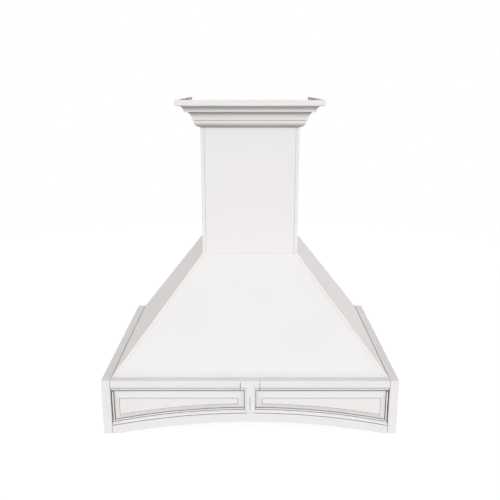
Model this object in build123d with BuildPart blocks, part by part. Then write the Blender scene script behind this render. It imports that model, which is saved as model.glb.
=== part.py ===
from build123d import *
import math
import os

# Wooden range hood cover: a painted surround that hangs on the wall above a cooker.
# Two cheeks carry an arched apron with raised panels, a tapering canopy, a boxed
# chimney and a mitred crown moulding. It is open at the back, below and above.
# Millimetres. X is to the right, Y towards the wall, Z up. The origin is at the
# centre of the footprint, on the plane that the cheeks stand on.

os.makedirs("parts", exist_ok=True)

# Overall sizes
overall_width = 762.0
overall_depth = 558.8
cheek_height = 150.5
canopy_top = 437.0
chimney_width = 257.7
chimney_depth = 369.0
crown_bottom = 774.9
crown_height = 69.1
crown_projection = 58.5

# Boards
cheek_board = 22.0
frame_board = 19.0
canopy_board = 6.4
chimney_board = 9.5
rail_board = 19.0
arris = 0.7

# Apron frame
frame_setback = 1.0
top_rail_height = 20.3
stile_face = 16.2
stile_chamfer = 5.4
stile_web = 15.0
stile_head = 50.0
stile_groove_width = 1.2
stile_groove_depth = 1.5
stile_groove_length = 37.0
stile_groove_foot = 10.0
arch_rise = 33.8
arch_foot = 15.0
arch_band = 24.0
sticking_width = 8.4
sticking_depth = 5.1
lip_depth = 7.0
sticking_quirk = 2.2
sticking_quirk_width = 1.3
ovolo_shoulder = 0.9
ovolo_width = 4.4
nosing_rise = 1.1

# Raised panels, with depths measured back from the face of the apron frame
panel_end_gap = 3.0
panel_clearance = 1.0
bead_width = 3.5
bead_height = 1.6
bead_chamfer = 1.0
bead_clearance = 0.2
stile_reveal = 1.2
top_groove = 4.6
groove_depth = 10.0
bevel_width = 17.0
field_proud = 1.0
field_quirk = 0.9
field_quirk_depth = 1.6
crest_drop = 0.4

# Ledgers, battens and cleats inside
canopy_ledge = 17.5
canopy_seat_gap = 1.4
ledger_width = 20.0
ledger_height = 30.0
ledger_easing = 4.0
front_ledger_height = 40.0
liner_plane = 36.0
hip_batten = 18.0
corner_batten = 18.0
cleat_width = 16.0
cleat_above = 30.0
cleat_below = 17.0
chimney_behind_crown = 46.6
top_setback = 12.0

# Wall rails: the lower one reaches two studs 16 inches apart
lower_rail_height = 80.0
lower_rail_spacing = 406.4
upper_rail_height = 70.0
upper_rail_spacing = 152.4
wall_screw_bore = 6.5

# Holes in the side ledgers that take the screws of the liner
liner_screws_across = 698.0
liner_screws_deep = 300.0
liner_screw_bore = 3.0
liner_screw_depth = 20.0

# Crown moulding: foot, rim and the seat on the chimney, and its glue blocks
crown_foot = 2.0
crown_rim = 5.5
crown_rim_height = 10.0
crown_rebate = 9.0
fascia_easing = 1.6
crown_seat = 23.6
block_length = 40.0
block_clearance = 0.3

# Loose tenons and screws
tenon_thickness = 5.0
tenon_length = 30.0
tenon_width = 12.0
rail_tenon_width = 50.0
stile_tenon_width = 8.0
stile_tenon_length = 24.0
tenon_arris = 0.5
screw_diameter = 4.0
screw_head = 8.0
screw_length = 34.0
screw_inset = 60.0
fit_clearance = 0.15
bore_bottom = 0.5

# Places that follow from the sizes
front = -overall_depth / 2
wall = overall_depth / 2
inner_x = overall_width / 2 - cheek_board
frame_front = front + frame_setback
frame_back = frame_front + frame_board
frame_middle = (frame_front + frame_back) / 2
ledger_back = frame_back + ledger_width
rail_front = wall - rail_board
rail_middle = wall - rail_board / 2
top_rail_bottom = cheek_height - top_rail_height
stile_half = stile_face / 2 + stile_chamfer

arch_half_chord = inner_x - arch_foot
arch_radius = (arch_half_chord**2 + arch_rise**2) / (2 * arch_rise)
arch_centre = arch_rise - arch_radius
band_radius = arch_radius + arch_band
band_top = arch_rise + arch_band

chimney_half = chimney_width / 2
chimney_front = wall - chimney_depth
chimney_top = crown_bottom + chimney_behind_crown
chimney_inner = chimney_half - chimney_board
chimney_inner_front = chimney_front + chimney_board

canopy_rise = canopy_top - cheek_height
canopy_foot_x = inner_x - canopy_seat_gap
canopy_foot_y = frame_front + canopy_ledge
side_lean = (canopy_foot_x - chimney_half) / canopy_rise
front_lean = (chimney_front - canopy_foot_y) / canopy_rise
side_wall = canopy_board * math.hypot(1, side_lean)
front_wall = canopy_board * math.hypot(1, front_lean)

# Joints: loose tenons across the frame, screws through the side ledgers
top_tenon_z = top_rail_bottom + top_rail_height / 2
foot_tenon_z = arch_band / 2
lower_rail_z = liner_plane + lower_rail_height / 2
stile_tenon_y = (frame_front + lip_depth + frame_back) / 2

screw_bore = screw_diameter / 2 + fit_clearance
screw_sink = screw_head / 2 + fit_clearance
pilot_depth = screw_length - ledger_width + bore_bottom
canopy_ledger_z = cheek_height - ledger_height / 2
liner_ledger_z = liner_plane + ledger_height / 2
liner_ledger_back = rail_front - ledger_width
canopy_screws = [(y, canopy_ledger_z) for y in (ledger_back + screw_inset, wall - screw_inset)]
liner_screws = [(y, liner_ledger_z) for y in (ledger_back + screw_inset, liner_ledger_back - screw_inset)]


def facing(y):
    """The upright plane at y, drawn as it is seen from the front."""
    return Plane.XZ.offset(-y)


def rectangle_between(x0, y0, x1, y1):
    """A rectangle from one corner to the opposite one."""
    with Locations(((x0 + x1) / 2, (y0 + y1) / 2)):
        Rectangle(abs(x1 - x0), abs(y1 - y0))


def tenons(clearance=0, mode=Mode.ADD):
    """The loose tenons, each across a joint, or their mortises when given a clearance."""
    across = (tenon_length, tenon_thickness, tenon_width)
    places = [((0, stile_tenon_y, band_top), (stile_tenon_width, tenon_thickness, stile_tenon_length))]
    for side in (-1, 1):
        places += [
            ((side * stile_head / 2, frame_middle, top_tenon_z), across),
            ((side * inner_x, frame_middle, top_tenon_z), across),
            ((side * inner_x, frame_middle, foot_tenon_z), across),
            ((side * inner_x, rail_middle, lower_rail_z), (tenon_length, tenon_thickness, rail_tenon_width)),
        ]
    for centre, sizes in places:
        with Locations(centre):
            Box(*[size + 2 * clearance for size in sizes], mode=mode)


# Cheeks: the two boards that carry everything, mortised and drilled on the inside
with BuildPart() as left_cheek:
    with BuildSketch(Plane.YZ.offset(-overall_width / 2)):
        rectangle_between(front, 0, wall, cheek_height)
    extrude(amount=cheek_board)
    chamfer(left_cheek.edges(), arris)
    tenons(fit_clearance, Mode.SUBTRACT)
    for y, z in canopy_screws + liner_screws:
        with Locations(Plane(origin=(-inner_x, y, z), z_dir=(1, 0, 0))):
            Hole(screw_bore, depth=pilot_depth)

with BuildPart() as right_cheek:
    mirror(left_cheek.part, about=Plane.YZ)

left_cheek.part.label = "left_cheek"
export_step(left_cheek.part, "parts/left_cheek.step")
right_cheek.part.label = "right_cheek"
export_step(right_cheek.part, "parts/right_cheek.step")


# Sticking: the moulded lip along the rails, with its edge on the rail at (0, 0),
# x running back from the face and y running out over the panel. It has a sunk quirk,
# an ovolo, and a square nosing that stands forward of the ovolo's end.
with BuildSketch() as sticking:
    with BuildLine():
        quirk = Polyline(
            (lip_depth, 0),
            (sticking_quirk, 0),
            (sticking_quirk, sticking_quirk_width),
            (ovolo_shoulder, sticking_quirk_width),
        )
        ovolo_end = sticking_quirk_width + ovolo_width
        ovolo = TangentArc(quirk @ 1, (sticking_depth, ovolo_end), tangent=(0, 1))
        Polyline(
            ovolo @ 1,
            (sticking_depth - nosing_rise, ovolo_end),
            (sticking_depth - nosing_rise, sticking_width),
            (lip_depth, sticking_width),
            (lip_depth, 0),
        )
    make_face()

# Section of the top rail: a board with the sticking along its lower edge
with BuildSketch() as top_rail_section:
    rectangle_between(frame_front, top_rail_bottom, frame_back, cheek_height)
    with Locations((frame_front, top_rail_bottom)):
        add(mirror(sticking.sketch, about=Plane.XZ, mode=Mode.PRIVATE))

# Section of the arched rail at its middle: the sticking stands on its upper edge
with BuildSketch() as arched_rail_section:
    rectangle_between(frame_front, arch_rise, frame_back, band_top)
    with Locations((frame_front, band_top)):
        add(sticking.sketch)


# Centre stile: a head as wide as the gap in the top rail, and a narrow shank whose
# front nib laps over the panels on both sides. A fine stopped groove runs down its face.
with BuildPart() as centre_stile:
    with BuildSketch(Plane.YZ.offset(-stile_head / 2)):
        add(top_rail_section.sketch)
    extrude(amount=stile_head)
    with BuildSketch(Plane.XY.offset(arch_rise)):
        with BuildLine():
            nib = Polyline(
                (0, frame_front),
                (stile_face / 2, frame_front),
                (stile_half, frame_front + sticking_depth),
                (stile_half, frame_front + lip_depth),
                (stile_web / 2, frame_front + lip_depth),
                (stile_web / 2, frame_back),
                (0, frame_back),
            )
            mirror(nib, about=Plane.YZ)
        make_face()
    extrude(amount=top_rail_bottom - arch_rise)
    with BuildSketch(facing(frame_back)):
        with Locations((0, arch_centre)):
            Circle(band_radius)
    extrude(amount=frame_board, mode=Mode.SUBTRACT)
    with BuildSketch(Plane.XY.offset(band_top + stile_groove_foot)):
        with BuildLine():
            mouth = stile_groove_width / 2
            tip = (0, frame_front + stile_groove_depth)
            Polyline((-mouth, frame_front), (mouth, frame_front), tip, close=True)
        make_face()
    extrude(amount=stile_groove_length, mode=Mode.SUBTRACT)
    front_arrises = centre_stile.edges().filter_by(Axis.Z).group_by(Axis.Y)[0].sort_by(Axis.X)
    chamfer([front_arrises[0], front_arrises[-1]], arris)
    tenons(fit_clearance, Mode.SUBTRACT)

centre_stile.part.label = "centre_stile"
export_step(centre_stile.part, "parts/centre_stile.step")


# Top rails, one on each side of the stile's head. Every butt joint in the face of the
# frame has a fine V, made by the arrises of its two pieces.
with BuildPart() as left_top_rail:
    with BuildSketch(Plane.YZ.offset(-inner_x)):
        add(top_rail_section.sketch)
    extrude(amount=inner_x - stile_head / 2)
    chamfer(left_top_rail.edges().filter_by(Axis.Z).group_by(Axis.Y)[0], arris)
    tenons(fit_clearance, Mode.SUBTRACT)

with BuildPart() as right_top_rail:
    mirror(left_top_rail.part, about=Plane.YZ)

left_top_rail.part.label = "left_top_rail"
export_step(left_top_rail.part, "parts/left_top_rail.step")
right_top_rail.part.label = "right_top_rail"
export_step(right_top_rail.part, "parts/right_top_rail.step")


# Arched rail: its section swung about the centre of the arch, cut off at the cheeks
# and at the foot plane, and coped over the foot of the stile
half_swing = math.degrees(math.asin(inner_x / arch_radius)) + 1

with BuildPart() as arched_rail:
    with BuildSketch(Plane.YZ):
        add(arched_rail_section.sketch)
    revolve(axis=Axis((0, 0, arch_centre), (0, 1, 0)), revolution_arc=half_swing)
    mirror(about=Plane.YZ)
    with BuildSketch(facing(frame_back)):
        rectangle_between(-inner_x, 0, inner_x, cheek_height)
    extrude(amount=frame_board, mode=Mode.INTERSECT)
    end_arrises = arched_rail.edges().filter_by(Axis.Z).group_by(Axis.Y)[0].sort_by(Axis.X)
    chamfer([end_arrises[0], end_arrises[-1]], arris)
    add(centre_stile.part, mode=Mode.SUBTRACT)
    tenons(fit_clearance, Mode.SUBTRACT)

arched_rail.part.label = "arched_rail"
export_step(arched_rail.part, "parts/arched_rail.step")


# Raised panels: a flange behind the lips, a bead beside the cheek and along the arch, a
# groove, a bevel that rises on all four sides, a fine quirk and a flat field. The lower
# side follows the arch.
def panel_outline(stile_x, end_x, top, radius):
    """The left panel's outline: three straight sides over an arc about the arch's centre."""
    middle_x = (stile_x + end_x) / 2
    on_arc = [(x, arch_centre + math.sqrt(radius**2 - x**2)) for x in (stile_x, middle_x, end_x)]
    with BuildLine() as outline:
        lower = ThreePointArc(*on_arc)
        Polyline(lower @ 1, (end_x, top), (stile_x, top), lower @ 0)
    make_face(outline.edges())


def sight_outline(inset, stile_inset, top_inset):
    """The outline that shows inside the lips, drawn in by an inset on each side."""
    panel_outline(
        -stile_half - stile_inset,
        -inner_x + panel_end_gap + inset,
        top_rail_bottom - sticking_width - top_inset,
        band_radius + sticking_width + inset,
    )


panel_front = frame_front + lip_depth
groove_floor = frame_front + groove_depth
field_front = frame_front - field_proud
crest = field_front + crest_drop
quirk_floor = field_front + field_quirk_depth
field_inset = bead_width + bevel_width
stile_field_inset = stile_reveal + bevel_width
bevel_inset = field_inset - field_quirk
bevel_stile_inset = stile_field_inset - field_quirk

with BuildPart() as left_raised_panel:
    with BuildSketch(facing(frame_back)):
        panel_outline(
            -stile_web / 2 - panel_clearance,
            -inner_x + panel_end_gap,
            top_rail_bottom - panel_clearance,
            band_radius + panel_clearance,
        )
    extrude(amount=frame_back - panel_front)
    with BuildSketch(facing(panel_front)):
        sight_outline(bead_clearance, stile_reveal, top_groove)
    extrude(amount=bead_height)
    chamfer(left_raised_panel.faces().sort_by(Axis.Y)[0].edges(), bead_chamfer)
    with BuildSketch(facing(groove_floor)):
        sight_outline(bead_width, bead_clearance, bead_clearance)
    extrude(amount=groove_depth + field_proud, mode=Mode.SUBTRACT)
    with BuildSketch(facing(groove_floor)):
        sight_outline(bead_width, stile_reveal, top_groove)
    with BuildSketch(facing(crest)):
        sight_outline(bevel_inset, bevel_stile_inset, bevel_inset)
    loft(ruled=True)
    with BuildSketch(facing(quirk_floor)):
        sight_outline(bevel_inset, bevel_stile_inset, bevel_inset)
    extrude(amount=field_quirk_depth, mode=Mode.SUBTRACT)
    with BuildSketch(facing(quirk_floor)):
        sight_outline(field_inset, stile_field_inset, field_inset)
    extrude(amount=field_quirk_depth)

with BuildPart() as right_raised_panel:
    mirror(left_raised_panel.part, about=Plane.YZ)

left_raised_panel.part.label = "left_raised_panel"
export_step(left_raised_panel.part, "parts/left_raised_panel.step")
right_raised_panel.part.label = "right_raised_panel"
export_step(right_raised_panel.part, "parts/right_raised_panel.step")


# Canopy: leaning boards between the apron and the chimney. The side boards run the
# whole depth, and the front board lies between them.
def leaning_section(foot, head, thickness):
    """The section of a leaning board: its outer face runs from foot up to head."""
    with BuildLine() as outline:
        Polyline(
            (foot, cheek_height),
            (head, canopy_top),
            (head + thickness, canopy_top),
            (foot + thickness, cheek_height),
            close=True,
        )
    make_face(outline.edges())


front_slope = Plane(origin=(0, canopy_foot_y, cheek_height), z_dir=(0, -1, front_lean))
left_slope = Plane(origin=(-canopy_foot_x + side_wall, 0, cheek_height), z_dir=(-1, 0, side_lean))
right_slope = Plane(origin=(canopy_foot_x - side_wall, 0, cheek_height), z_dir=(1, 0, side_lean))

with BuildPart() as canopy_left_panel:
    with BuildSketch(facing(wall)):
        leaning_section(-canopy_foot_x, -chimney_half, side_wall)
    extrude(amount=wall - canopy_foot_y)
    split(bisect_by=front_slope, keep=Keep.BOTTOM)
    hip_face = canopy_left_panel.faces().sort_by(Axis.Y)[0]
    chamfer(hip_face.edges().filter_by(Axis.X, reverse=True), arris)

with BuildPart() as canopy_right_panel:
    mirror(canopy_left_panel.part, about=Plane.YZ)

with BuildPart() as canopy_front_panel:
    with BuildSketch(Plane.YZ.offset(-canopy_foot_x)):
        leaning_section(canopy_foot_y, chimney_front, front_wall)
    extrude(amount=2 * canopy_foot_x)
    split(bisect_by=left_slope, keep=Keep.BOTTOM)
    split(bisect_by=right_slope, keep=Keep.BOTTOM)
    front_face = canopy_front_panel.faces().sort_by(SortBy.AREA)[-2:].sort_by(Axis.Y)[0]
    chamfer(front_face.edges().filter_by(Axis.X, reverse=True), arris)

canopy_left_panel.part.label = "canopy_left_panel"
export_step(canopy_left_panel.part, "parts/canopy_left_panel.step")
canopy_right_panel.part.label = "canopy_right_panel"
export_step(canopy_right_panel.part, "parts/canopy_right_panel.step")
canopy_front_panel.part.label = "canopy_front_panel"
export_step(canopy_front_panel.part, "parts/canopy_front_panel.step")


# Chimney: two side boards with the front board between them, open behind and above
with BuildPart() as chimney_left_panel:
    with BuildSketch(Plane.XY.offset(canopy_top)):
        rectangle_between(-chimney_half, chimney_front, -chimney_inner, wall)
    extrude(amount=chimney_top - canopy_top)
    chamfer(chimney_left_panel.edges().filter_by(Axis.Z), arris)

with BuildPart() as chimney_right_panel:
    mirror(chimney_left_panel.part, about=Plane.YZ)

with BuildPart() as chimney_front_panel:
    with BuildSketch(Plane.XY.offset(canopy_top)):
        rectangle_between(-chimney_inner, chimney_front, chimney_inner, chimney_inner_front)
    extrude(amount=chimney_top - canopy_top)
    chamfer(chimney_front_panel.edges().filter_by(Axis.Z), arris)

chimney_left_panel.part.label = "chimney_left_panel"
export_step(chimney_left_panel.part, "parts/chimney_left_panel.step")
chimney_right_panel.part.label = "chimney_right_panel"
export_step(chimney_right_panel.part, "parts/chimney_right_panel.step")
chimney_front_panel.part.label = "chimney_front_panel"
export_step(chimney_front_panel.part, "parts/chimney_front_panel.step")


# Crown moulding section: x is how far it stands out from the chimney, y its height.
# An ovolo at the foot, a large cove, a smaller cove and a flat fascia on a soffit.
with BuildSketch() as crown_section:
    with BuildLine():
        foot = Line((0, 0), (crown_foot, 0))
        ovolo = ThreePointArc(foot @ 1, (11.8, 5.3), (15.8, 15.8))
        fillet = Polyline(ovolo @ 1, (15.8, 17.8), (18.8, 18.2), (18.8, 20.1))
        large_cove = ThreePointArc(fillet @ 1, (22.4, 30.5), (29.5, 38.6))
        band = Polyline(large_cove @ 1, (37.0, 39.0), (37.6, 40.8))
        small_cove = ThreePointArc(band @ 1, (40.7, 48.2), (46.5, 53.6))
        Polyline(
            small_cove @ 1,
            (crown_projection - fascia_easing, 54.2),
            (crown_projection, 54.2 + fascia_easing),
            (crown_projection, crown_height),
            (crown_projection - crown_rim, crown_height),
            (crown_projection - crown_rim, crown_height - crown_rim_height),
            (crown_projection - crown_rim - crown_rebate, crown_height - crown_rim_height),
            (0, crown_seat),
            (0, 0),
        )
    make_face()

# Mitres through the front corners of the chimney; the front piece is on their upper side
left_mitre = Plane(origin=(-chimney_half, chimney_front, crown_bottom), z_dir=(1, -1, 0))
right_mitre = Plane(origin=(chimney_half, chimney_front, crown_bottom), z_dir=(-1, -1, 0))
crown_reach = chimney_half + crown_projection

with BuildPart() as crown_front:
    with BuildSketch(
        Plane(origin=(crown_reach, chimney_front, crown_bottom), x_dir=(0, -1, 0), z_dir=(-1, 0, 0))
    ):
        add(crown_section.sketch)
    extrude(amount=2 * crown_reach)
    split(bisect_by=left_mitre, keep=Keep.TOP)
    split(bisect_by=right_mitre, keep=Keep.TOP)

with BuildPart() as crown_left_return:
    with BuildSketch(
        Plane(
            origin=(-chimney_half, chimney_front - crown_projection, crown_bottom),
            x_dir=(-1, 0, 0),
            z_dir=(0, 1, 0),
        )
    ):
        add(crown_section.sketch)
    extrude(amount=chimney_depth + crown_projection)
    split(bisect_by=left_mitre, keep=Keep.BOTTOM)

with BuildPart() as crown_right_return:
    mirror(crown_left_return.part, about=Plane.YZ)

crown_front.part.label = "crown_front"
export_step(crown_front.part, "parts/crown_front.step")
crown_left_return.part.label = "crown_left_return"
export_step(crown_left_return.part, "parts/crown_left_return.step")
crown_right_return.part.label = "crown_right_return"
export_step(crown_right_return.part, "parts/crown_right_return.step")


# Glue blocks in the hollow between the back of the crown and the chimney
back_slope = (crown_height - crown_rim_height - crown_seat) / (crown_projection - crown_rim - crown_rebate)
block_height = chimney_behind_crown - crown_seat - block_clearance
block_width = block_height / back_slope

with BuildPart() as crown_block:
    with BuildSketch(Plane.XZ):
        with BuildLine():
            Polyline((0, 0), (block_width, block_height), (0, block_height), close=True)
        make_face()
    extrude(amount=block_length / 2, both=True)

block_z = crown_bottom + crown_seat + block_clearance
block_y = [chimney_front + chimney_depth / 4, chimney_front + chimney_depth * 3 / 4]
block_places = [Plane(origin=(0, chimney_front, block_z), x_dir=(0, -1, 0), z_dir=(0, 0, 1))]
for side in (-1, 1):
    block_places += [
        Plane(origin=(side * chimney_half, y, block_z), x_dir=(side, 0, 0), z_dir=(0, 0, 1)) for y in block_y
    ]
    block_places += [
        Plane(origin=(side * chimney_half * 2 / 3, chimney_front, block_z), x_dir=(0, -1, 0), z_dir=(0, 0, 1))
    ]

with BuildPart() as crown_glue_blocks:
    with Locations(*block_places):
        add(crown_block.part)

crown_glue_blocks.part.label = "crown_glue_blocks"
export_step(crown_glue_blocks.part, "parts/crown_glue_blocks.step")


# Ledgers under the feet of the canopy boards: the side ones are screwed to the cheeks,
# with an eased edge below the gap there, and the front one is glued to the top rails
with BuildPart() as left_canopy_ledger:
    with BuildSketch(Plane.XY.offset(cheek_height - ledger_height)):
        rectangle_between(-inner_x, ledger_back, -inner_x + ledger_width, wall)
    extrude(amount=ledger_height)
    upper_edges = left_canopy_ledger.edges().filter_by(Axis.Y).group_by(Axis.Z)[-1]
    chamfer(upper_edges.sort_by(Axis.X)[0], ledger_easing)
    for y, z in canopy_screws:
        with Locations(Plane(origin=(-inner_x + ledger_width, y, z), z_dir=(1, 0, 0))):
            CounterSinkHole(screw_bore, screw_sink, depth=ledger_width, counter_sink_angle=90)

with BuildPart() as right_canopy_ledger:
    mirror(left_canopy_ledger.part, about=Plane.YZ)

with BuildPart() as front_canopy_ledger:
    with BuildSketch(Plane.XY.offset(cheek_height - front_ledger_height)):
        rectangle_between(-inner_x, frame_back, inner_x, ledger_back)
    extrude(amount=front_ledger_height)

left_canopy_ledger.part.label = "left_canopy_ledger"
export_step(left_canopy_ledger.part, "parts/left_canopy_ledger.step")
right_canopy_ledger.part.label = "right_canopy_ledger"
export_step(right_canopy_ledger.part, "parts/right_canopy_ledger.step")
front_canopy_ledger.part.label = "front_canopy_ledger"
export_step(front_canopy_ledger.part, "parts/front_canopy_ledger.step")


# Ledgers that the flange of a hood liner is screwed up to, all at one level
with BuildPart() as left_liner_ledger:
    with BuildSketch(Plane.XY.offset(liner_plane)):
        rectangle_between(-inner_x, ledger_back, -inner_x + ledger_width, liner_ledger_back)
    extrude(amount=ledger_height)
    for y, z in liner_screws:
        with Locations(Plane(origin=(-inner_x + ledger_width, y, z), z_dir=(1, 0, 0))):
            CounterSinkHole(screw_bore, screw_sink, depth=ledger_width, counter_sink_angle=90)
    for y in (-liner_screws_deep / 2, liner_screws_deep / 2):
        with Locations(Plane(origin=(-liner_screws_across / 2, y, liner_plane), z_dir=(0, 0, -1))):
            Hole(liner_screw_bore / 2, depth=liner_screw_depth)

with BuildPart() as right_liner_ledger:
    mirror(left_liner_ledger.part, about=Plane.YZ)

with BuildPart() as front_liner_ledger:
    with BuildSketch(Plane.XY.offset(liner_plane)):
        rectangle_between(-inner_x, frame_back, inner_x, ledger_back)
    extrude(amount=front_ledger_height)

with BuildPart() as back_liner_ledger:
    with BuildSketch(Plane.XY.offset(liner_plane)):
        rectangle_between(-inner_x, liner_ledger_back, inner_x, rail_front)
    extrude(amount=ledger_height)

left_liner_ledger.part.label = "left_liner_ledger"
export_step(left_liner_ledger.part, "parts/left_liner_ledger.step")
right_liner_ledger.part.label = "right_liner_ledger"
export_step(right_liner_ledger.part, "parts/right_liner_ledger.step")
front_liner_ledger.part.label = "front_liner_ledger"
export_step(front_liner_ledger.part, "parts/front_liner_ledger.step")
back_liner_ledger.part.label = "back_liner_ledger"
export_step(back_liner_ledger.part, "parts/back_liner_ledger.step")


# Rails that are screwed to the wall, one between the cheeks and one in the chimney
with BuildPart() as lower_wall_rail:
    with BuildSketch(Plane.XY.offset(liner_plane)):
        rectangle_between(-inner_x, rail_front, inner_x, wall)
    extrude(amount=lower_rail_height)
    for side in (-1, 1):
        place = (side * lower_rail_spacing / 2, rail_front, lower_rail_z)
        with Locations(Plane(origin=place, z_dir=(0, -1, 0))):
            Hole(wall_screw_bore / 2, depth=rail_board)
    tenons(fit_clearance, Mode.SUBTRACT)

upper_rail_top = chimney_top - top_setback

with BuildPart() as upper_wall_rail:
    with BuildSketch(Plane.XY.offset(upper_rail_top - upper_rail_height)):
        rectangle_between(-chimney_inner, rail_front, chimney_inner, wall)
    extrude(amount=upper_rail_height)
    for side in (-1, 1):
        place = (side * upper_rail_spacing / 2, rail_front, upper_rail_top - upper_rail_height / 2)
        with Locations(Plane(origin=place, z_dir=(0, -1, 0))):
            Hole(wall_screw_bore / 2, depth=rail_board)

lower_wall_rail.part.label = "lower_wall_rail"
export_step(lower_wall_rail.part, "parts/lower_wall_rail.step")
upper_wall_rail.part.label = "upper_wall_rail"
export_step(upper_wall_rail.part, "parts/upper_wall_rail.step")


# Cleats that join the canopy to the chimney: upright above, and bevelled below to
# lie against the leaning boards
def cleat_section(inner, lean, wall_thickness, outer):
    """Section in x and z: inner is the chimney board's inner face, outer its outer face."""
    top_of_slope = outer - wall_thickness
    with BuildLine() as outline:
        Polyline(
            (inner, canopy_top + cleat_above),
            (inner - cleat_width, canopy_top + cleat_above),
            (inner - cleat_width, canopy_top - cleat_below),
            (top_of_slope + lean * cleat_below, canopy_top - cleat_below),
            (top_of_slope, canopy_top),
            (inner, canopy_top),
            close=True,
        )
    make_face(outline.edges())


with BuildPart() as right_foot_cleat:
    with BuildSketch(facing(wall)):
        cleat_section(chimney_inner, side_lean, side_wall, chimney_half)
    extrude(amount=wall - chimney_inner_front)

with BuildPart() as left_foot_cleat:
    mirror(right_foot_cleat.part, about=Plane.YZ)

front_cleat_half = chimney_inner - cleat_width

with BuildPart() as front_foot_cleat:
    with BuildSketch(Plane(origin=(-front_cleat_half, 0, 0), x_dir=(0, -1, 0), z_dir=(-1, 0, 0))):
        cleat_section(-chimney_inner_front, front_lean, front_wall, -chimney_front)
    extrude(amount=-2 * front_cleat_half)

left_foot_cleat.part.label = "left_foot_cleat"
export_step(left_foot_cleat.part, "parts/left_foot_cleat.step")
right_foot_cleat.part.label = "right_foot_cleat"
export_step(right_foot_cleat.part, "parts/right_foot_cleat.step")
front_foot_cleat.part.label = "front_foot_cleat"
export_step(front_foot_cleat.part, "parts/front_foot_cleat.step")


# Battens glued into the hips of the canopy, from the ledgers up to the cleats
def hip_square(z):
    """The batten's level section, in the inner corner of the canopy at height z."""
    rise = z - cheek_height
    corner_x = -canopy_foot_x + side_wall + side_lean * rise
    corner_y = canopy_foot_y + front_wall + front_lean * rise
    rectangle_between(corner_x, corner_y, corner_x + hip_batten, corner_y + hip_batten)


with BuildPart() as left_hip_batten:
    for z in (cheek_height, canopy_top - cleat_below):
        with BuildSketch(Plane.XY.offset(z)):
            hip_square(z)
    loft(ruled=True)

with BuildPart() as right_hip_batten:
    mirror(left_hip_batten.part, about=Plane.YZ)

# Battens glued into the front corners of the chimney, on top of the cleats
with BuildPart() as left_corner_batten:
    with BuildSketch(Plane.XY.offset(canopy_top + cleat_above)):
        rectangle_between(
            -chimney_inner,
            chimney_inner_front,
            -chimney_inner + corner_batten,
            chimney_inner_front + corner_batten,
        )
    extrude(amount=chimney_top - top_setback - canopy_top - cleat_above)

with BuildPart() as right_corner_batten:
    mirror(left_corner_batten.part, about=Plane.YZ)

left_hip_batten.part.label = "left_hip_batten"
export_step(left_hip_batten.part, "parts/left_hip_batten.step")
right_hip_batten.part.label = "right_hip_batten"
export_step(right_hip_batten.part, "parts/right_hip_batten.step")
left_corner_batten.part.label = "left_corner_batten"
export_step(left_corner_batten.part, "parts/left_corner_batten.step")
right_corner_batten.part.label = "right_corner_batten"
export_step(right_corner_batten.part, "parts/right_corner_batten.step")


# Loose tenons of the frame and the lower wall rail, half in one piece and half in the next
with BuildPart() as frame_tenons:
    tenons()
    chamfer(frame_tenons.edges(), tenon_arris)

# Countersunk screws through the side ledgers, drawn with the head at the origin
with BuildPart() as screw:
    with BuildSketch(Plane.XZ):
        with BuildLine():
            Polyline(
                (0, 0),
                (screw_head / 2, 0),
                (screw_diameter / 2, -(screw_head - screw_diameter) / 2),
                (screw_diameter / 2, -screw_length + screw_diameter),
                (0, -screw_length),
                close=True,
            )
        make_face()
    revolve(axis=Axis.Z)

with BuildPart() as ledger_screws:
    for side in (-1, 1):
        for y, z in canopy_screws + liner_screws:
            with Locations(Plane(origin=(side * (inner_x - ledger_width), y, z), z_dir=(-side, 0, 0))):
                add(screw.part)

frame_tenons.part.label = "frame_tenons"
export_step(frame_tenons.part, "parts/frame_tenons.step")
ledger_screws.part.label = "ledger_screws"
export_step(ledger_screws.part, "parts/ledger_screws.step")
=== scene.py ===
import bpy
import math
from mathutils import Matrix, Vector


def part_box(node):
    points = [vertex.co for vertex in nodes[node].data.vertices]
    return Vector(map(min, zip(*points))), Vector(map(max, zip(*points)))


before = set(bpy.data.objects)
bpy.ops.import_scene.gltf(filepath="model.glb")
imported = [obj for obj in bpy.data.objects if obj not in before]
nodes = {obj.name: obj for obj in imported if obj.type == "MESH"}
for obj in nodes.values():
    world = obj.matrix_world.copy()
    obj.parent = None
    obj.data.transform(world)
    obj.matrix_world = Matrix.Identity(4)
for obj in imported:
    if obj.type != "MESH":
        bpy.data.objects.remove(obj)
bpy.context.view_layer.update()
print("frame loaded:", len(nodes), "nodes")


camera = {
    "lens": 44.262,                    # mm, on a sensor 36 mm wide
    "sensor": 36.0,
    "place": (0.0, -1.7078, 0.8766),
    "lookDown": 14.92,                 # degrees below level
}

cameraData = bpy.data.cameras.new("studioCamera")
cameraData.lens = camera["lens"]
cameraData.sensor_width = camera["sensor"]
cameraData.clip_start = 0.05
cameraObject = bpy.data.objects.new("studioCamera", cameraData)
cameraObject.location = camera["place"]
cameraObject.rotation_euler = (math.radians(90 - camera["lookDown"]), 0, 0)
bpy.context.scene.collection.objects.link(cameraObject)
bpy.context.scene.camera = cameraObject
bpy.context.scene.view_settings.view_transform = "Standard"
print("camera set")


def fill(tree, node, sockets):
    for name, value in sockets.items():
        if isinstance(value, bpy.types.NodeSocket):
            tree.links.new(value, node.inputs[name])
        else:
            node.inputs[name].default_value = value


def put(tree, kind, sockets=None, **settings):
    # geometry nodes are named in full, and every other node without its prefix
    node = tree.nodes.new(kind if kind.startswith("GeometryNode") else "ShaderNode" + kind)
    for name, value in settings.items():
        setattr(node, name, value)
    fill(tree, node, sockets or {})
    return node


def maths(tree, operation, first, second=0.0):
    return put(tree, "Math", {0: first, 1: second}, operation=operation).outputs[0]


def dotProduct(tree, first, second):
    sockets = {0: first, 1: second}
    return put(tree, "VectorMath", sockets, operation="DOT_PRODUCT").outputs["Value"]


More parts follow.
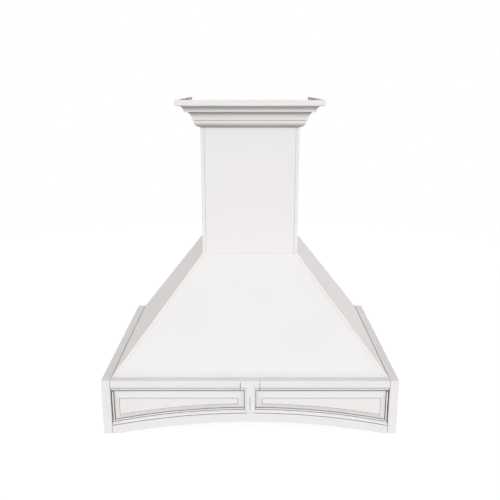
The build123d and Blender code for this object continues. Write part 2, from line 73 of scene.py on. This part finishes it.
def scaled(tree, place, factors):
    return put(tree, "VectorMath", {0: place, 1: factors}, operation="MULTIPLY").outputs[0]


def noise(tree, place, scale, detail):
    sockets = {"Vector": place, "Scale": scale, "Detail": detail}
    return put(tree, "TexNoise", sockets).outputs["Fac"]


def mixColour(tree, factor, first, second):
    sockets = {0: factor, 6: first, 7: second}
    return put(tree, "Mix", sockets, data_type="RGBA").outputs[2]


def mixValue(tree, factor, first, second):
    sockets = {0: factor, 2: first, 3: second}
    return put(tree, "Mix", sockets, data_type="FLOAT").outputs[0]


def spread(tree, value, low, high, toLow=0.0, toHigh=1.0):
    sockets = {
        "Value": value,
        "From Min": low,
        "From Max": high,
        "To Min": toLow,
        "To Max": toHigh,
    }
    return put(tree, "MapRange", sockets).outputs[0]


def newGroup(name, inputs, outputs, kind="ShaderNodeTree"):
    group = bpy.data.node_groups.new(name, kind)
    for label, socketKind, *value in inputs:
        socket = group.interface.new_socket(
            name=label, in_out="INPUT", socket_type="NodeSocket" + socketKind
        )
        if value:
            socket.default_value = value[0]
    for label, socketKind in outputs:
        group.interface.new_socket(
            name=label, in_out="OUTPUT", socket_type="NodeSocket" + socketKind
        )
    given = group.nodes.new("NodeGroupInput").outputs
    return group, given, group.nodes.new("NodeGroupOutput").inputs


def placeGroup(tree, group, sockets):
    node = tree.nodes.new("ShaderNodeGroup")
    node.node_tree = group
    fill(tree, node, sockets)
    return node.outputs


film = {
    "strokeDetail": 3.0,
    "cloudScale": 7.0,                  # slow changes of tone, about 0.15 m apart
    "cloudDetail": 2.0,
    "stippleScale": 620.0,
    "stippleDetail": 2.0,
    "strokesInTone": 0.35,
    "stippleInHeight": 0.4,
    "tone": (0.35, 0.65),               # the part of the noise that the tone runs over
    "strokes": (0.3, 0.7),
    "roughness": (0.50, 0.60),
}


def makePaintFilm():
    # sprayed and lightly brushed paint: slow tone, strokes along the board, fine stipple
    inputs = [("Place", "Vector", (0, 0, 0)), ("Stroke", "Vector", (1, 1, 1))]
    outputs = [("Tone", "Float"), ("Roughness", "Float"), ("Height", "Float")]
    group, given, result = newGroup("paintFilm", inputs, outputs)
    place = given["Place"]
    strokes = noise(group, scaled(group, place, given["Stroke"]), 1.0, film["strokeDetail"])
    cloud = noise(group, place, film["cloudScale"], film["cloudDetail"])
    stipple = noise(group, place, film["stippleScale"], film["stippleDetail"])
    tone = mixValue(group, film["strokesInTone"], cloud, strokes)
    group.links.new(spread(group, tone, *film["tone"]), result["Tone"])
    roughness = spread(group, strokes, *film["strokes"], *film["roughness"])
    group.links.new(roughness, result["Roughness"])
    height = mixValue(group, film["stippleInHeight"], strokes, stipple)
    group.links.new(height, result["Height"])
    return group


grain = {
    "bandScale": 26.0,
    "bandDistortion": 7.0,
    "bandDetail": 3.0,
    "bandDetailScale": 1.4,
    "fibreScale": 900.0,
    "fibreDetail": 4.0,
    "patchScale": 12.0,
    "patchDetail": 2.0,
    "fibresInBands": 0.45,
    "patchInColour": 0.35,
    "colour": (0.25, 0.75),             # the part of the noise that the two wood colours run over
    "fibres": (0.3, 0.7),
    "roughness": (0.62, 0.78),
}


def makeWoodGrain():
    # planed timber: growth bands and fibres, both stretched along the grain
    inputs = [
        ("Place", "Vector", (0, 0, 0)),
        ("Stretch", "Vector", (1, 1, 1)),
        ("Early", "Color", (1, 1, 1, 1)),
        ("Late", "Color", (1, 1, 1, 1)),
    ]
    outputs = [("Colour", "Color"), ("Roughness", "Float"), ("Height", "Float")]
    group, given, result = newGroup("woodGrain", inputs, outputs)
    stretched = scaled(group, given["Place"], given["Stretch"])
    waves = {
        "Vector": stretched,
        "Scale": grain["bandScale"],
        "Distortion": grain["bandDistortion"],
        "Detail": grain["bandDetail"],
        "Detail Scale": grain["bandDetailScale"],
    }
    bands = put(group, "TexWave", waves, wave_type="RINGS").outputs["Fac"]
    fibres = noise(group, stretched, grain["fibreScale"], grain["fibreDetail"])
    patch = noise(group, stretched, grain["patchScale"], grain["patchDetail"])
    banded = mixValue(group, grain["fibresInBands"], bands, fibres)
    varied = spread(group, mixValue(group, grain["patchInColour"], banded, patch), *grain["colour"])
    colour = mixColour(group, varied, given["Early"], given["Late"])
    group.links.new(colour, result["Colour"])
    roughness = spread(group, fibres, *grain["fibres"], *grain["roughness"])
    group.links.new(roughness, result["Roughness"])
    group.links.new(banded, result["Height"])
    return group


ply = {
    "layer": 0.0016,                    # thickness of one veneer
    "glueLine": (0.18, 0.32),           # where a stripe starts and ends, in halves of a turn
    "edgeOn": (0.75, 0.65),             # from face to edge, as the surface turns away
}


def makePlyEdge():
    # the glued layers that show on a board's edge: stripes across its thickness
    inputs = [
        ("Place", "Vector", (0, 0, 0)),
        ("Across", "Vector", (1, 0, 0)),
        ("Layer", "Float", ply["layer"]),
    ]
    group, given, result = newGroup("plyEdge", inputs, [("Edge", "Float"), ("Stripe", "Float")])
    depth = dotProduct(group, given["Place"], given["Across"])
    wave = maths(group, "PINGPONG", maths(group, "DIVIDE", depth, given["Layer"]), 0.5)
    group.links.new(spread(group, wave, *ply["glueLine"]), result["Stripe"])
    normal = put(group, "NewGeometry").outputs["Normal"]
    turned = maths(group, "ABSOLUTE", dotProduct(group, normal, given["Across"]))
    group.links.new(spread(group, turned, *ply["edgeOn"]), result["Edge"])
    return group


bareFacing = (0.30, 0.36)               # from painted to bare, as a face turns to the bare side


def makeBareSide():
    # 1 on the faces that look towards a direction, behind and below where the paint stops
    inputs = [
        ("Place", "Vector", (0, 0, 0)),
        ("Towards", "Vector", (0, 0, 0)),
        ("Behind", "Float", -1.0),
        ("Below", "Float", 1.0),
    ]
    group, given, result = newGroup("bareSide", inputs, [("Mask", "Float")])
    normal = put(group, "NewGeometry").outputs["Normal"]
    facing = spread(group, dotProduct(group, normal, given["Towards"]), *bareFacing)
    part = put(group, "SeparateXYZ", {0: given["Place"]}).outputs
    behind = maths(group, "GREATER_THAN", part["Y"], given["Behind"])
    below = maths(group, "LESS_THAN", part["Z"], given["Below"])
    limit = maths(group, "MULTIPLY", behind, below)
    group.links.new(maths(group, "MULTIPLY", facing, limit), result["Mask"])
    return group


seamSamples = 12


def makeSeamShade():
    # grows from 0 to 1 in joints and quirks, as less of the sky shows from there
    inputs = [("Reach", "Float", 0.003), ("Open", "Float", 0.8), ("Shut", "Float", 0.3)]
    group, given, result = newGroup("seamShade", inputs, [("Mask", "Float")])
    occlusion = put(group, "AmbientOcclusion", {"Distance": given["Reach"]}, samples=seamSamples)
    sky = occlusion.outputs["AO"]
    group.links.new(spread(group, sky, given["Open"], given["Shut"]), result["Mask"])
    return group


def makeLedgeShade():
    # the mask of a painted shade line under a ledge: darkest from the ledge's height to Full, gone
    # at Clear
    inputs = [
        ("Place", "Vector", (0, 0, 0)),
        ("Ledge", "Float", 1.0),
        ("Full", "Float", 0.0),
        ("Clear", "Float", 0.01),
        ("Strength", "Float", 1.0),
    ]
    group, given, result = newGroup("ledgeShade", inputs, [("Mask", "Float")])
    height = put(group, "SeparateXYZ", {0: given["Place"]}).outputs["Z"]
    under = maths(group, "LESS_THAN", height, given["Ledge"])
    fade = spread(group, height, given["Clear"], given["Full"])
    line = maths(group, "MULTIPLY", under, fade)
    group.links.new(maths(group, "MULTIPLY", line, given["Strength"]), result["Mask"])
    return group


wear = {
    "samples": 4,
    "patchScale": 90.0,
    "patchDetail": 3.0,
    "bend": (0.995, 0.90),              # from unworn to worn, as the surface bends away
}


def makeEdgeWear():
    # 1 close to sharp edges, broken up by noise
    inputs = [("Place", "Vector", (0, 0, 0)), ("Radius", "Float", 0.001)]
    group, given, result = newGroup("edgeWear", inputs, [("Mask", "Float")])
    rounded = put(group, "Bevel", {"Radius": given["Radius"]}, samples=wear["samples"]).outputs[0]
    normal = put(group, "NewGeometry").outputs["Normal"]
    near = spread(group, dotProduct(group, normal, rounded), *wear["bend"])
    patch = noise(group, given["Place"], wear["patchScale"], wear["patchDetail"])
    group.links.new(maths(group, "MULTIPLY", near, patch), result["Mask"])
    return group


shadeLineBreaks = {
    "patchScale": 70.0,
    "patchDetail": 2.0,
    "patch": (0.35, 0.55),
    "faintest": 0.3,
}


def makeJointShadeLine():
    # painted shade: a fine dark line where two pieces meet, at one distance left and right, broken
    # up by noise
    inputs = [
        ("Place", "Vector", (0, 0, 0)),
        ("Side", "Float", 0.1),
        ("Below", "Float", 1.0),
        ("Width", "Float", 0.0006),
    ]
    group, given, result = newGroup("jointShadeLine", inputs, [("Mask", "Float")])
    part = put(group, "SeparateXYZ", {0: given["Place"]}).outputs
    low = maths(group, "LESS_THAN", part["Z"], given["Below"])
    distance = maths(group, "ABSOLUTE", part["X"])
    apart = maths(group, "ABSOLUTE", maths(group, "SUBTRACT", distance, given["Side"]))
    line = maths(group, "LESS_THAN", apart, given["Width"])
    patch = noise(group, given["Place"], shadeLineBreaks["patchScale"], shadeLineBreaks["patchDetail"])
    shown = spread(group, patch, *shadeLineBreaks["patch"], shadeLineBreaks["faintest"])
    broken = maths(group, "MULTIPLY", line, shown)
    group.links.new(maths(group, "MULTIPLY", broken, low), result["Mask"])
    return group


paintFilm = makePaintFilm()
woodGrain = makeWoodGrain()
plyEdge = makePlyEdge()
bareSide = makeBareSide()
edgeWear = makeEdgeWear()
seamShade = makeSeamShade()
ledgeShade = makeLedgeShade()
jointShadeLine = makeJointShadeLine()
print("shared effects made")


paint = {
    "light": (0.874, 0.868, 0.862, 1),
    "dark": (0.860, 0.853, 0.846, 1),
    "thin": (0.835, 0.825, 0.812, 1),   # where the film is thin, on edges
    "paintedSeamShade": (0.050, 0.047, 0.045, 1),   # painted shade in open joints and quirks
    "seamShade": {"Reach": 0.0036, "Open": 0.79, "Shut": 0.32},
    "ledge": (0.240, 0.230, 0.222, 1),  # painted shade in the quirks under the ledges of the mouldings
    # painted shade lines in the joints where two pieces meet
    "jointShade": (0.070, 0.064, 0.060, 1),
    "jointShadeWidth": 0.00075,              # on each side of a joint
    "edgeRadius": 0.0011,
    "bump": 0.06,
    "bumpDepth": 0.0003,
    "sheen": 0.30,                      # eggshell: less gloss than the shader's own 0.5
}
plywood = {
    "early": (0.66, 0.50, 0.33, 1),
    "late": (0.54, 0.38, 0.22, 1),
    "glueLine": (0.30, 0.19, 0.10, 1),
}
primerAsShade = {                              # grey primer on the hidden side of the crown moulding, made dark enough to stand in for the shade there as well
    "early": (0.34, 0.335, 0.320, 1),
    "late": (0.27, 0.267, 0.255, 1),
    "glueLine": (0.30, 0.295, 0.280, 1),
}


paintStrokes = (9.0, 240.0)             # scale of the paint's noise along a board and across it
plyStretch = (0.08, 1.0)                # and of the grain, in plywood and in timber
timberStretch = (0.06, 1.0)


def alongGrain(direction, scales):
    # one scale in the direction of the board, and another across it
    along, across = scales
    return tuple(across + (along - across) * abs(part) for part in direction)


def newMaterial(name):
    material = bpy.data.materials.new(name)
    material.use_nodes = True
    material.node_tree.nodes.clear()
    return material, material.node_tree


def finishMaterial(tree, shader, colour, roughness, height, finish):
    sockets = {"Height": height, "Strength": finish["bump"], "Distance": finish["bumpDepth"]}
    normal = put(tree, "Bump", sockets).outputs[0]
    fill(tree, shader, {"Base Color": colour, "Roughness": roughness, "Normal": normal})
    put(tree, "OutputMaterial", {"Surface": shader.outputs[0]})


def placeWood(tree, place, along, stretch, kind):
    sockets = {
        "Place": place,
        "Stretch": alongGrain(along, stretch),
        "Early": kind["early"],
        "Late": kind["late"],
    }
    return placeGroup(tree, woodGrain, sockets)


def makePainted(
    name, along, towards, across,
    behind=-1.0, below=1.0, board=plywood, joints=(), ledges=(), noSeamShade=False,
):
    # satin paint outside, with painted shade in its joints, quirks and under its ledges, bare board
    # on the faces that look towards the inside or the wall
    material, tree = newMaterial(name)
    place = put(tree, "TexCoord").outputs["Object"]
    coat = placeGroup(tree, paintFilm, {"Place": place, "Stroke": alongGrain(along, paintStrokes)})
    worn = placeGroup(tree, edgeWear, {"Place": place, "Radius": paint["edgeRadius"]})
    bareSockets = {"Place": place, "Towards": towards, "Behind": behind, "Below": below}
    bare = placeGroup(tree, bareSide, bareSockets)
    wood = placeWood(tree, place, along, plyStretch, board)
    layers = placeGroup(tree, plyEdge, {"Place": place, "Across": across})
    painted = mixColour(tree, coat["Tone"], paint["dark"], paint["light"])
    painted = mixColour(tree, worn["Mask"], painted, paint["thin"])
    # painted shade lines under the ledges of the mouldings
    for line in ledges:
        ledge = placeGroup(tree, ledgeShade, {"Place": place, **line})
        painted = mixColour(tree, ledge["Mask"], painted, paint["ledge"])
    # painted shade in joints and quirks, darker where less of the sky shows; left off where
    # noSeamShade is set
    if not noSeamShade:
        paintedSeamShade = placeGroup(tree, seamShade, paint["seamShade"])
        painted = mixColour(tree, paintedSeamShade["Mask"], painted, paint["paintedSeamShade"])
    # painted shade lines in the joints where two pieces meet
    for joint in joints:
        jointShadeSockets = {"Place": place, "Width": paint["jointShadeWidth"], **joint}
        jointShade = placeGroup(tree, jointShadeLine, jointShadeSockets)
        painted = mixColour(tree, jointShade["Mask"], painted, paint["jointShade"])
    glueLines = maths(tree, "MULTIPLY", layers["Edge"], layers["Stripe"])
    unpainted = mixColour(tree, glueLines, wood["Colour"], board["glueLine"])
    colour = mixColour(tree, bare["Mask"], painted, unpainted)
    roughness = mixValue(tree, bare["Mask"], coat["Roughness"], wood["Roughness"])
    height = mixValue(tree, bare["Mask"], coat["Height"], wood["Height"])
    shader = put(tree, "BsdfPrincipled", {"Specular IOR Level": paint["sheen"]})
    finishMaterial(tree, shader, colour, roughness, height, paint)
    return material


softwood = {
    "early": (0.72, 0.54, 0.34, 1),
    "late": (0.52, 0.33, 0.17, 1),
    "edgeRadius": 0.0012,
    "bump": 0.35,
    "bumpDepth": 0.0005,
}
beech = {
    "early": (0.62, 0.42, 0.27, 1),
    "late": (0.50, 0.31, 0.18, 1),
    "edgeRadius": 0.0012,
    "bump": 0.3,
    "bumpDepth": 0.0003,
}


def makeTimber(name, along, kind):
    # planed wood, with its edges rubbed towards the darker of its two colours
    material, tree = newMaterial(name)
    place = put(tree, "TexCoord").outputs["Object"]
    wood = placeWood(tree, place, along, timberStretch, kind)
    rubbed = placeGroup(tree, edgeWear, {"Place": place, "Radius": kind["edgeRadius"]})
    colour = mixColour(tree, rubbed["Mask"], wood["Colour"], kind["late"])
    shader = put(tree, "BsdfPrincipled")
    finishMaterial(tree, shader, colour, wood["Roughness"], wood["Height"], kind)
    return material


zinc = {
    "bloomScale": 900.0,
    "cloudScale": 350.0,
    "cloudDetail": 3.0,
    "dark": (0.60, 0.60, 0.62, 1),
    "light": (0.74, 0.74, 0.75, 1),
    "cloud": (0.3, 0.7),
    "roughness": (0.28, 0.46),
    "bump": 0.1,
    "bumpDepth": 0.0001,
}


def makeZinc():
    # bright zinc plate with a fine crystal bloom
    material, tree = newMaterial("zincPlate")
    place = put(tree, "TexCoord").outputs["Object"]
    bloom = put(tree, "TexVoronoi", {"Vector": place, "Scale": zinc["bloomScale"]})
    cloud = noise(tree, place, zinc["cloudScale"], zinc["cloudDetail"])
    colour = mixColour(tree, bloom.outputs["Distance"], zinc["dark"], zinc["light"])
    roughness = spread(tree, cloud, *zinc["cloud"], *zinc["roughness"])
    shader = put(tree, "BsdfPrincipled", {"Metallic": 1.0})
    finishMaterial(tree, shader, colour, roughness, cloud, zinc)
    return material


alongX, alongY, alongZ = (1, 0, 0), (0, 1, 0), (0, 0, 1)
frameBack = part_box("arched_rail")[1][1]
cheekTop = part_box("left_cheek")[1][2]
(headSide, _, railFoot), (railEnd, _, railTop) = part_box("right_top_rail")
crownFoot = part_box("crown_front")[0][2]

apron = {
    "paintLap": 0.005,                  # inside a cheek, the paint comes down this far
    "cheekShadeDrop": 0.001,            # the painted joint shade lines stop this far below the rails' top
    "headShadeDrop": 0.007,
    "topLine": (0.0004, 0.0020, 0.10),  # painted shade on the top faces: full, clear, strength
    "panelLine": (0.0052, 0.0056, 1.0), # and painted shadow under the lip over the panels
}
# painted shade under each ledge of the crown: its height over the crown's foot, full, clear,
# strength
crownLedges = {
    "fascia": (0.0540, 0.0045, 0.0105, 0.52),
    "band": (0.0388, 0.0012, 0.0090, 0.85),
    "fillet": (0.0181, 0.0008, 0.0030, 0.35),
}
crownFootLine = (0.0120, 0.72)          # painted shade at the foot: height over the foot where it is clear, strength
chimneyLine = (0.0, 0.0035, 0.35)       # painted shadow on the chimney under the crown's foot: full, clear, strength
aboveAll = 1.0                          # a height that is over the whole cover


def lineUnder(ledge, full, clear, strength, limit=None):
    # full and clear are depths below the ledge, and the line stays under the limit
    top = ledge if limit is None else limit
    return {"Ledge": top, "Full": ledge - full, "Clear": ledge - clear, "Strength": strength}


cheekJoint = {"Side": railEnd, "Below": railTop - apron["cheekShadeDrop"]}
headJoint = {"Side": headSide, "Below": railTop - apron["headShadeDrop"]}
crownLines = [
    lineUnder(crownFoot + height, full, clear, strength)
    for height, full, clear, strength in crownLedges.values()
]
# painted shade on the crown's foot runs upside down: darkest at its lowest edge
clearOver, footStrength = crownFootLine
crownLines.append(lineUnder(crownFoot, 0.0, -clearOver, footStrength, aboveAll))
railLine = lineUnder(railTop, *apron["topLine"], aboveAll)

crownStyle = {"board": primerAsShade, "ledges": crownLines}
chimneyStyle = {"ledges": [lineUnder(crownFoot, *chimneyLine)]}
panelStyle = {"ledges": [lineUnder(railFoot, *apron["panelLine"])]}
railStyle = {"joints": [cheekJoint, headJoint], "ledges": [railLine]}
archStyle = {"joints": [cheekJoint]}
stileStyle = {"joints": [headJoint], "ledges": [railLine]}
cheekStyle = {"behind": frameBack, "below": cheekTop - apron["paintLap"]}
# the canopy's joints get no painted seam shade
canopyStyle = {"noSeamShade": True}

# name: grain direction, side left bare, direction across the board, then what differs
paintedPieces = {
    "left_cheek": (alongY, (0.7, 0.7, 0), alongX, cheekStyle),
    "right_cheek": (alongY, (-0.7, 0.7, 0), alongX, cheekStyle),
    "left_top_rail": (alongX, alongY, alongY, railStyle),
    "right_top_rail": (alongX, alongY, alongY, railStyle),
    "centre_stile": (alongZ, alongY, alongY, stileStyle),
    "arched_rail": (alongX, alongY, alongY, archStyle),
    "left_raised_panel": (alongX, alongY, alongY, panelStyle),
    "right_raised_panel": (alongX, alongY, alongY, panelStyle),
    "canopy_left_panel": (alongY, (0.6, 0.6, -0.5), (-0.78, 0, 0.62), canopyStyle),
    "canopy_right_panel": (alongY, (-0.6, 0.6, -0.5), (0.78, 0, 0.62), canopyStyle),
    "canopy_front_panel": (alongX, (0, 0.8, -0.6), (0, -0.86, 0.51), canopyStyle),
    "chimney_left_panel": (alongZ, (0.58, 0.58, 0.58), alongX, chimneyStyle),
    "chimney_right_panel": (alongZ, (-0.58, 0.58, 0.58), alongX, chimneyStyle),
    "chimney_front_panel": (alongZ, (0, 0.7, 0.7), alongY, chimneyStyle),
    "crown_front": (alongX, alongY, alongY, crownStyle),
    "crown_left_return": (alongY, (0.7, 0.7, 0), alongX, crownStyle),
    "crown_right_return": (alongY, (-0.7, 0.7, 0), alongX, crownStyle),
}
timberPieces = {
    "crown_glue_blocks": alongX,
    "left_canopy_ledger": alongY,
    "right_canopy_ledger": alongY,
    "front_canopy_ledger": alongX,
    "left_liner_ledger": alongY,
    "right_liner_ledger": alongY,
    "front_liner_ledger": alongX,
    "back_liner_ledger": alongX,
    "lower_wall_rail": alongX,
    "upper_wall_rail": alongX,
    "left_foot_cleat": alongY,
    "right_foot_cleat": alongY,
    "front_foot_cleat": alongX,
    "left_hip_batten": alongZ,
    "right_hip_batten": alongZ,
    "left_corner_batten": alongZ,
    "right_corner_batten": alongZ,
}


def dress(name, material):
    node = nodes[name]
    node.data.materials.clear()
    node.data.materials.append(material)


for name, (along, towards, across, extras) in paintedPieces.items():
    dress(name, makePainted("painted_" + name, along, towards, across, **extras))
for name, along in timberPieces.items():
    dress(name, makeTimber("timber_" + name, along, softwood))
dress("frame_tenons", makeTimber("beechTenon", alongX, beech))
dress("ledger_screws", makeZinc())
print("materials made")


edges = {
    "merge": 0.00001,
    "width": 0.0004,
    "angle": 35,                        # degrees; flatter edges stay as they are
    "segments": 2,
}
swungOvolo = {
    "archCentre": -1.733633,            # height of the point that the rail is swung about
    "startRadius": 1.792733,            # from there to where the ovolo starts
    "sectionDepth": -0.273095,          # y of the centre of the ovolo's own arc
    "sectionRadius": 0.004405,
    "slack": 0.0002,                    # facets this far outside the arc still count
    "facing": (-0.995, -0.03),          # y of the normal: neither the flat front nor level faces
    "splits": 2,
}


def makeRoundOvolo():
    # the arched rail's ovolo comes in long facets, which cut up to 1.2 mm inside its curve:
    # here they are split, and laid on the curve itself
    sockets = [("Geometry", "Geometry")]
    tree, given, result = newGroup("roundOvolo", sockets, sockets, "GeometryNodeTree")

    def length(first, second):
        squares = [maths(tree, "POWER", part, 2.0) for part in (first, second)]
        return maths(tree, "SQRT", maths(tree, "ADD", *squares))

    # where each point is, in the section of the rail that it lies in
    place = put(tree, "SeparateXYZ", {0: put(tree, "GeometryNodeInputPosition").outputs[0]}).outputs
    height = maths(tree, "SUBTRACT", place["Z"], swungOvolo["archCentre"])
    radius = length(place["X"], height)
    rise = maths(tree, "SUBTRACT", radius, swungOvolo["startRadius"])
    depth = maths(tree, "SUBTRACT", place["Y"], swungOvolo["sectionDepth"])
    reach = length(rise, depth)

    normal = put(tree, "GeometryNodeInputNormal").outputs[0]
    facing = put(tree, "SeparateXYZ", {0: normal}).outputs["Y"]
    flat, level = swungOvolo["facing"]
    chosen = maths(tree, "LESS_THAN", reach, swungOvolo["sectionRadius"] + swungOvolo["slack"])
    for test in (
        maths(tree, "LESS_THAN", facing, level),
        maths(tree, "GREATER_THAN", facing, flat),
        maths(tree, "LESS_THAN", depth, 0.0),
        maths(tree, "GREATER_THAN", rise, 0.0),
    ):
        chosen = maths(tree, "MULTIPLY", chosen, test)
    faces = {"Geometry": given["Geometry"], "Selection": chosen}
    parts = put(tree, "GeometryNodeSeparateGeometry", faces, domain="FACE").outputs
    facets = {"Mesh": parts["Selection"], "Level": swungOvolo["splits"]}
    fine = put(tree, "GeometryNodeSubdivideMesh", facets).outputs["Mesh"]

    # pushed out from the centre of the ovolo's arc, in that same section
    push = maths(tree, "DIVIDE", swungOvolo["sectionRadius"], reach)
    pushedRise = maths(tree, "MULTIPLY", rise, push)
    pushedRadius = maths(tree, "ADD", pushedRise, swungOvolo["startRadius"])
    pushedDepth = maths(tree, "MULTIPLY", depth, push)
    outward = maths(tree, "DIVIDE", pushedRadius, radius)
    pushedHeight = maths(tree, "MULTIPLY", height, outward)
    newPlace = {
        "X": maths(tree, "MULTIPLY", place["X"], outward),
        "Y": maths(tree, "ADD", pushedDepth, swungOvolo["sectionDepth"]),
        "Z": maths(tree, "ADD", pushedHeight, swungOvolo["archCentre"]),
    }
    points = {"Geometry": fine, "Position": put(tree, "CombineXYZ", newPlace).outputs[0]}
    laid = put(tree, "GeometryNodeSetPosition", points).outputs["Geometry"]
    smooth = put(tree, "GeometryNodeSetShadeSmooth", {"Geometry": laid, "Shade Smooth": True})
    joined = put(tree, "GeometryNodeJoinGeometry")
    tree.links.new(parts["Inverted"], joined.inputs[0])
    tree.links.new(smooth.outputs["Geometry"], joined.inputs[0])
    tree.links.new(joined.outputs[0], result["Geometry"])
    return tree


for name in [*paintedPieces, *timberPieces]:
    node = nodes[name]
    node.modifiers.new("weld", "WELD").merge_threshold = edges["merge"]
    if name == "arched_rail":
        # its refined ovolo is cut loose from the rest, so its edges stay sharp
        node.modifiers.new("roundOvolo", "NODES").node_group = makeRoundOvolo()
        continue
    bevel = node.modifiers.new("arris", "BEVEL")
    bevel.width = edges["width"]
    bevel.segments = edges["segments"]
    bevel.limit_method = "ANGLE"
    bevel.angle_limit = math.radians(edges["angle"])
    bevel.harden_normals = True
print("edges softened")


light = {
    "sky": (0.436, 0.400, 0.398, 1),
    "ground": (0.145, 0.140, 0.136, 1),
    "horizon": (-0.10, 0.25),           # the ground turns into sky between these heights
    "floorColour": (0.14, 0.14, 0.14, 1),
    "floorSize": 2.6,                   # half its width
    "floorFade": (0.55, 0.95),          # where it starts and ends to fade, in floor sizes
    "floorDrop": 0.0005,                # it lies this far below the cover's foot
    "floorGlow": 0.93,
}
# name: where it shines from, colour and strength in one, how wide it is in degrees
suns = {
    "highFrontSun": ((0.0, -0.85, 0.50), (0.366, 0.402, 0.408), 30),
    "lowFrontSun": ((0.0, -0.90, -0.40), (0.304, 0.280, 0.276), 30),
    "rightSun": ((1.0, -0.1, 0.20), (0.308, 0.292, 0.290), 40),
    "leftSun": ((-1.0, -0.1, 0.20), (0.215, 0.200, 0.194), 40),
    "backSun": ((0.0, 1.0, 0.0), (0.36, 0.35, 0.35), 10),
}


def seenByCamera(tree):
    path = put(tree, "LightPath").outputs
    seen = maths(tree, "MAXIMUM", path["Is Camera Ray"], path["Is Glossy Ray"])
    return maths(tree, "MAXIMUM", seen, path["Is Transmission Ray"])


world = bpy.data.worlds.new("studioWorld")
world.use_nodes = True
bpy.context.scene.world = world
worldTree = world.node_tree
worldTree.nodes.clear()
direction = put(worldTree, "TexCoord").outputs["Generated"]
skyHeight = put(worldTree, "SeparateXYZ", {0: direction}).outputs["Z"]
skyShare = spread(worldTree, skyHeight, *light["horizon"])
skyColour = mixColour(worldTree, skyShare, light["ground"], light["sky"])
ambient = put(worldTree, "Background", {"Color": skyColour, "Strength": 1.0}).outputs[0]
white = put(worldTree, "Background", {"Color": (1, 1, 1, 1), "Strength": 1.0}).outputs[0]
worldMix = put(worldTree, "MixShader", {0: seenByCamera(worldTree), 1: ambient, 2: white})
put(worldTree, "OutputWorld", {"Surface": worldMix.outputs[0]})

for name, (place, colour, spreadAngle) in suns.items():
    sunData = bpy.data.lights.new(name, "SUN")
    sunData.energy = math.pi            # so a face square to it shows the sun's own colour
    sunData.color = colour
    sunData.angle = math.radians(spreadAngle)
    sun = bpy.data.objects.new(name, sunData)
    sun.rotation_euler = (-Vector(place)).to_track_quat("-Z", "Y").to_euler()
    bpy.context.scene.collection.objects.link(sun)


def makeFloor():
    # pale floor: diffuse under the object, and fading out into the white background
    half, low = light["floorSize"], -light["floorDrop"]
    corners = [(-half, -half, low), (half, -half, low), (half, half, low), (-half, half, low)]
    mesh = bpy.data.meshes.new("studioFloor")
    mesh.from_pydata(corners, [], [(0, 1, 2, 3)])
    floor = bpy.data.objects.new("studioFloor", mesh)
    bpy.context.scene.collection.objects.link(floor)
    material, tree = newMaterial("floorWhite")
    diffuse = put(tree, "BsdfDiffuse", {"Color": light["floorColour"]})
    glow = put(tree, "Emission", {"Color": (1, 1, 1, 1), "Strength": light["floorGlow"]})
    total = put(tree, "AddShader", {0: diffuse.outputs[0], 1: glow.outputs[0]})
    clear = put(tree, "BsdfTransparent")
    place = put(tree, "TexCoord").outputs["Object"]
    radius = put(tree, "VectorMath", {0: place}, operation="LENGTH").outputs["Value"]
    fade = spread(tree, radius, *[half * part for part in light["floorFade"]])
    fromBelow = put(tree, "NewGeometry").outputs["Backfacing"]
    unseen = maths(tree, "MAXIMUM", fade, fromBelow)
    faded = put(tree, "MixShader", {0: unseen, 1: total.outputs[0], 2: clear.outputs[0]})
    put(tree, "OutputMaterial", {"Surface": faded.outputs[0]})
    mesh.materials.append(material)
    floor.visible_shadow = False        # it takes the object's shadow and casts none
    floor.visible_diffuse = False       # and the world alone lights the object from below


makeFloor()
print("stage lit")
